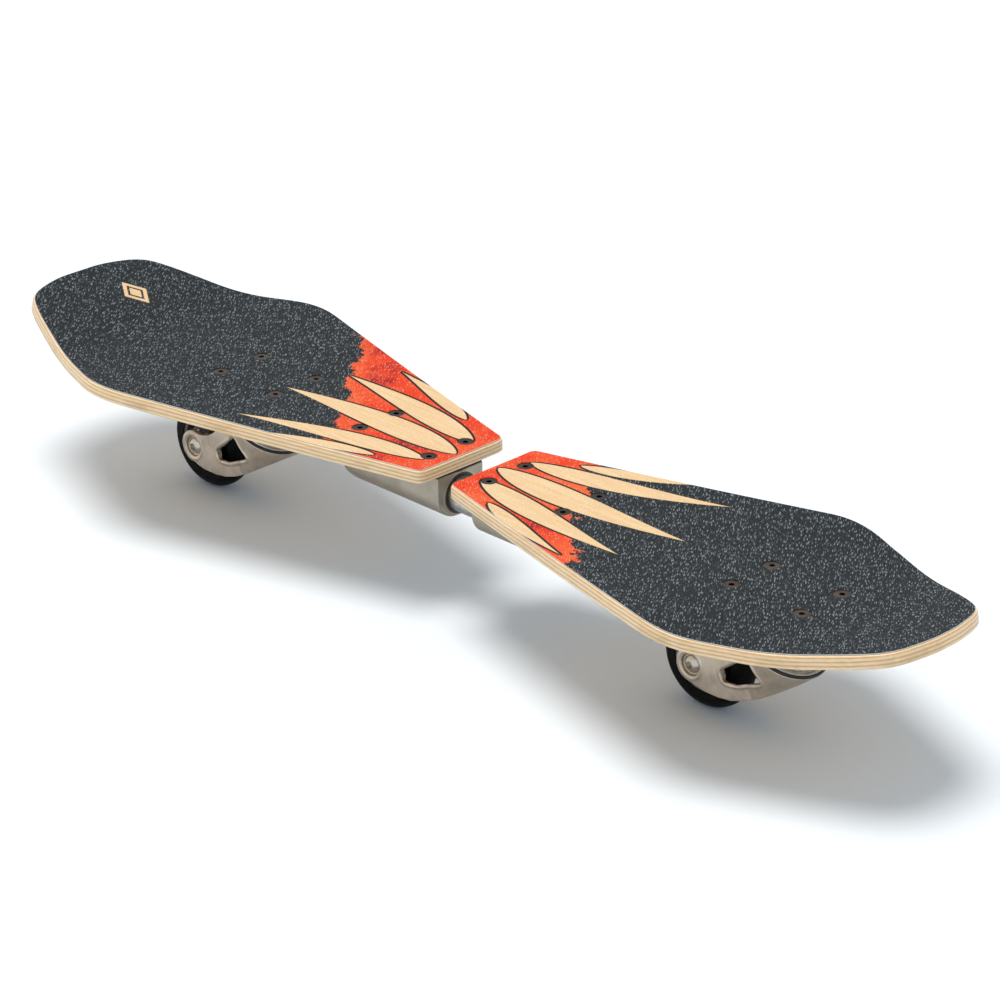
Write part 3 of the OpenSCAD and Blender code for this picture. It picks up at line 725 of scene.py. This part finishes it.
def make_dust_lips():
    """The black lip round each swivel, between the fork's round top and the bright dust ring."""
    lean = math.radians(SWIVEL_LEAN)
    axis = (math.sin(lean), 0, math.cos(lean))
    profile = [(r * MM, h * MM) for r, h in DUST_LIP]
    for end in ENDS:
        centre = (PIVOT_X[end] + SWIVEL_X * MM, 0, SWIVEL_H * MM)
        lip = lathe(end + "_dust_lip", profile, centre, axis, steps=128)
        lip.data.materials.append(MATERIALS["black_rubber"])
        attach(lip, end + "_caster")


def face_ring():
    """The bead round the spigot on the rear bracket's end face."""
    middle = Vector((JOINT_X - BRACKET_FACE, 0, AXIS_H))
    points = [middle + FACE_RING_R * Vector((0, math.cos(a), math.sin(a))) for a in circle(64)]
    return tube("ring", points, FACE_BEAD_R, around=(1, 0, 0))


def make_castings():
    """Each end's bracket, caster base and fork."""
    for end in ENDS:
        rings = [face_ring()] if end == "rear" else []
        # The brackets take the darker copy of the casting, as painted shade
        cast_piece(end + "_housing", end + "_bracket", end + "_half", HOUSING_GRID, rings,
                   "shaded_housing_aluminium")
        cast_piece(end + "_wedge", end + "_caster_base", end + "_half", WEDGE_GRID)
        cast_piece(end + "_caster_fork", end + "_fork", end + "_caster", FORK_GRID,
                   raised_lines(end))


# Nodes whose finish differs from the rest of their slot
OWN_FINISH = {
    "rear_caster_screws": "brown_screw_steel",
    "front_caster_screws": "brown_screw_steel",
    "joint_seal": "seal_rubber",
}


def dress_the_rest():
    """Solids whose shape is right keep it, and get their material."""
    for entry in frame["record"]["subparts"]:
        obj = NODES[entry["node"]]
        if obj.hide_render:
            continue
        obj.data.materials.clear()
        obj.data.materials.append(MATERIALS[OWN_FINISH.get(entry["node"], entry["material_slot"])])


# Stage

FLOOR_HALF = 8
FLOOR_COLOUR = (0.87, 0.89, 0.91, 1)
# The key light: strength, colour, softness in degrees, and tilt about X and Y in degrees
SUN_STRENGTH = 2.28
SUN_COLOUR = (1.0, 0.985, 0.955)
SUN_SOFTNESS = 30
SUN_TILT = (4, -6)
FILL_COLOUR = (0.78, 0.93, 1.07, 1)
FILL_STRENGTH = 0.57
WHITE = (1, 1, 1, 1)


def make_stage():
    """A pale floor, one wide soft sun, and the sky."""
    f = FLOOR_HALF
    floor = mesh_object("floor", [(-f, -f, 0), (f, -f, 0), (f, f, 0), (-f, f, 0)], [(0, 1, 2, 3)])
    floor.data.materials.append(Shader("floor", Base_Color=FLOOR_COLOUR, Roughness=0.9).material)

    sun = bpy.data.objects.new("key", bpy.data.lights.new("key", "SUN"))
    sun.data.energy = SUN_STRENGTH
    sun.data.color = SUN_COLOUR
    sun.data.angle = math.radians(SUN_SOFTNESS)
    sun.rotation_euler = (math.radians(SUN_TILT[0]), math.radians(SUN_TILT[1]), 0)
    bpy.context.scene.collection.objects.link(sun)

    # The sky fills the shadows, but cameras, gloss and clear pieces see it white
    world = bpy.data.worlds.new("studio")
    bpy.context.scene.world = world
    world.use_nodes = True
    tree = world.node_tree
    fill = tree.nodes["Background"]
    fill.inputs["Color"].default_value = FILL_COLOUR
    fill.inputs["Strength"].default_value = FILL_STRENGTH
    white = tree.nodes.new("ShaderNodeBackground")
    white.inputs["Color"].default_value = WHITE
    mix = tree.nodes.new("ShaderNodeMixShader")
    rays = tree.nodes.new("ShaderNodeLightPath").outputs
    seen = rays["Is Camera Ray"]
    for kind in ("Is Glossy Ray", "Is Transmission Ray"):
        either = tree.nodes.new("ShaderNodeMath")
        either.operation = "MAXIMUM"
        tree.links.new(seen, either.inputs[0])
        tree.links.new(rays[kind], either.inputs[1])
        seen = either.outputs[0]
    tree.links.new(seen, mix.inputs[0])
    tree.links.new(fill.outputs[0], mix.inputs[1])
    tree.links.new(white.outputs[0], mix.inputs[2])
    tree.links.new(mix.outputs[0], tree.nodes["World Output"].inputs["Surface"])
    bpy.context.scene.view_settings.view_transform = "Standard"


# Place and direction in metres, and lens and film width in millimetres
CAMERA_AT = (1.7661, -1.7306, 1.2204)
CAMERA_LOOKS = (-0.64220, 0.64145, -0.41966)
CAMERA_LENS = 134.4
CAMERA_FILM = 36


def make_camera():
    """The photograph's camera."""
    camera = bpy.data.objects.new("camera", bpy.data.cameras.new("camera"))
    camera.data.lens = CAMERA_LENS
    camera.data.sensor_width = CAMERA_FILM
    camera.location = CAMERA_AT
    camera.rotation_euler = Vector(CAMERA_LOOKS).to_track_quat("-Z", "Y").to_euler()
    bpy.context.scene.collection.objects.link(camera)
    bpy.context.scene.camera = camera


for end in ENDS:
    make_deck(end)
make_castings()
make_dust_lips()
dress_the_rest()
make_stage()
make_camera()
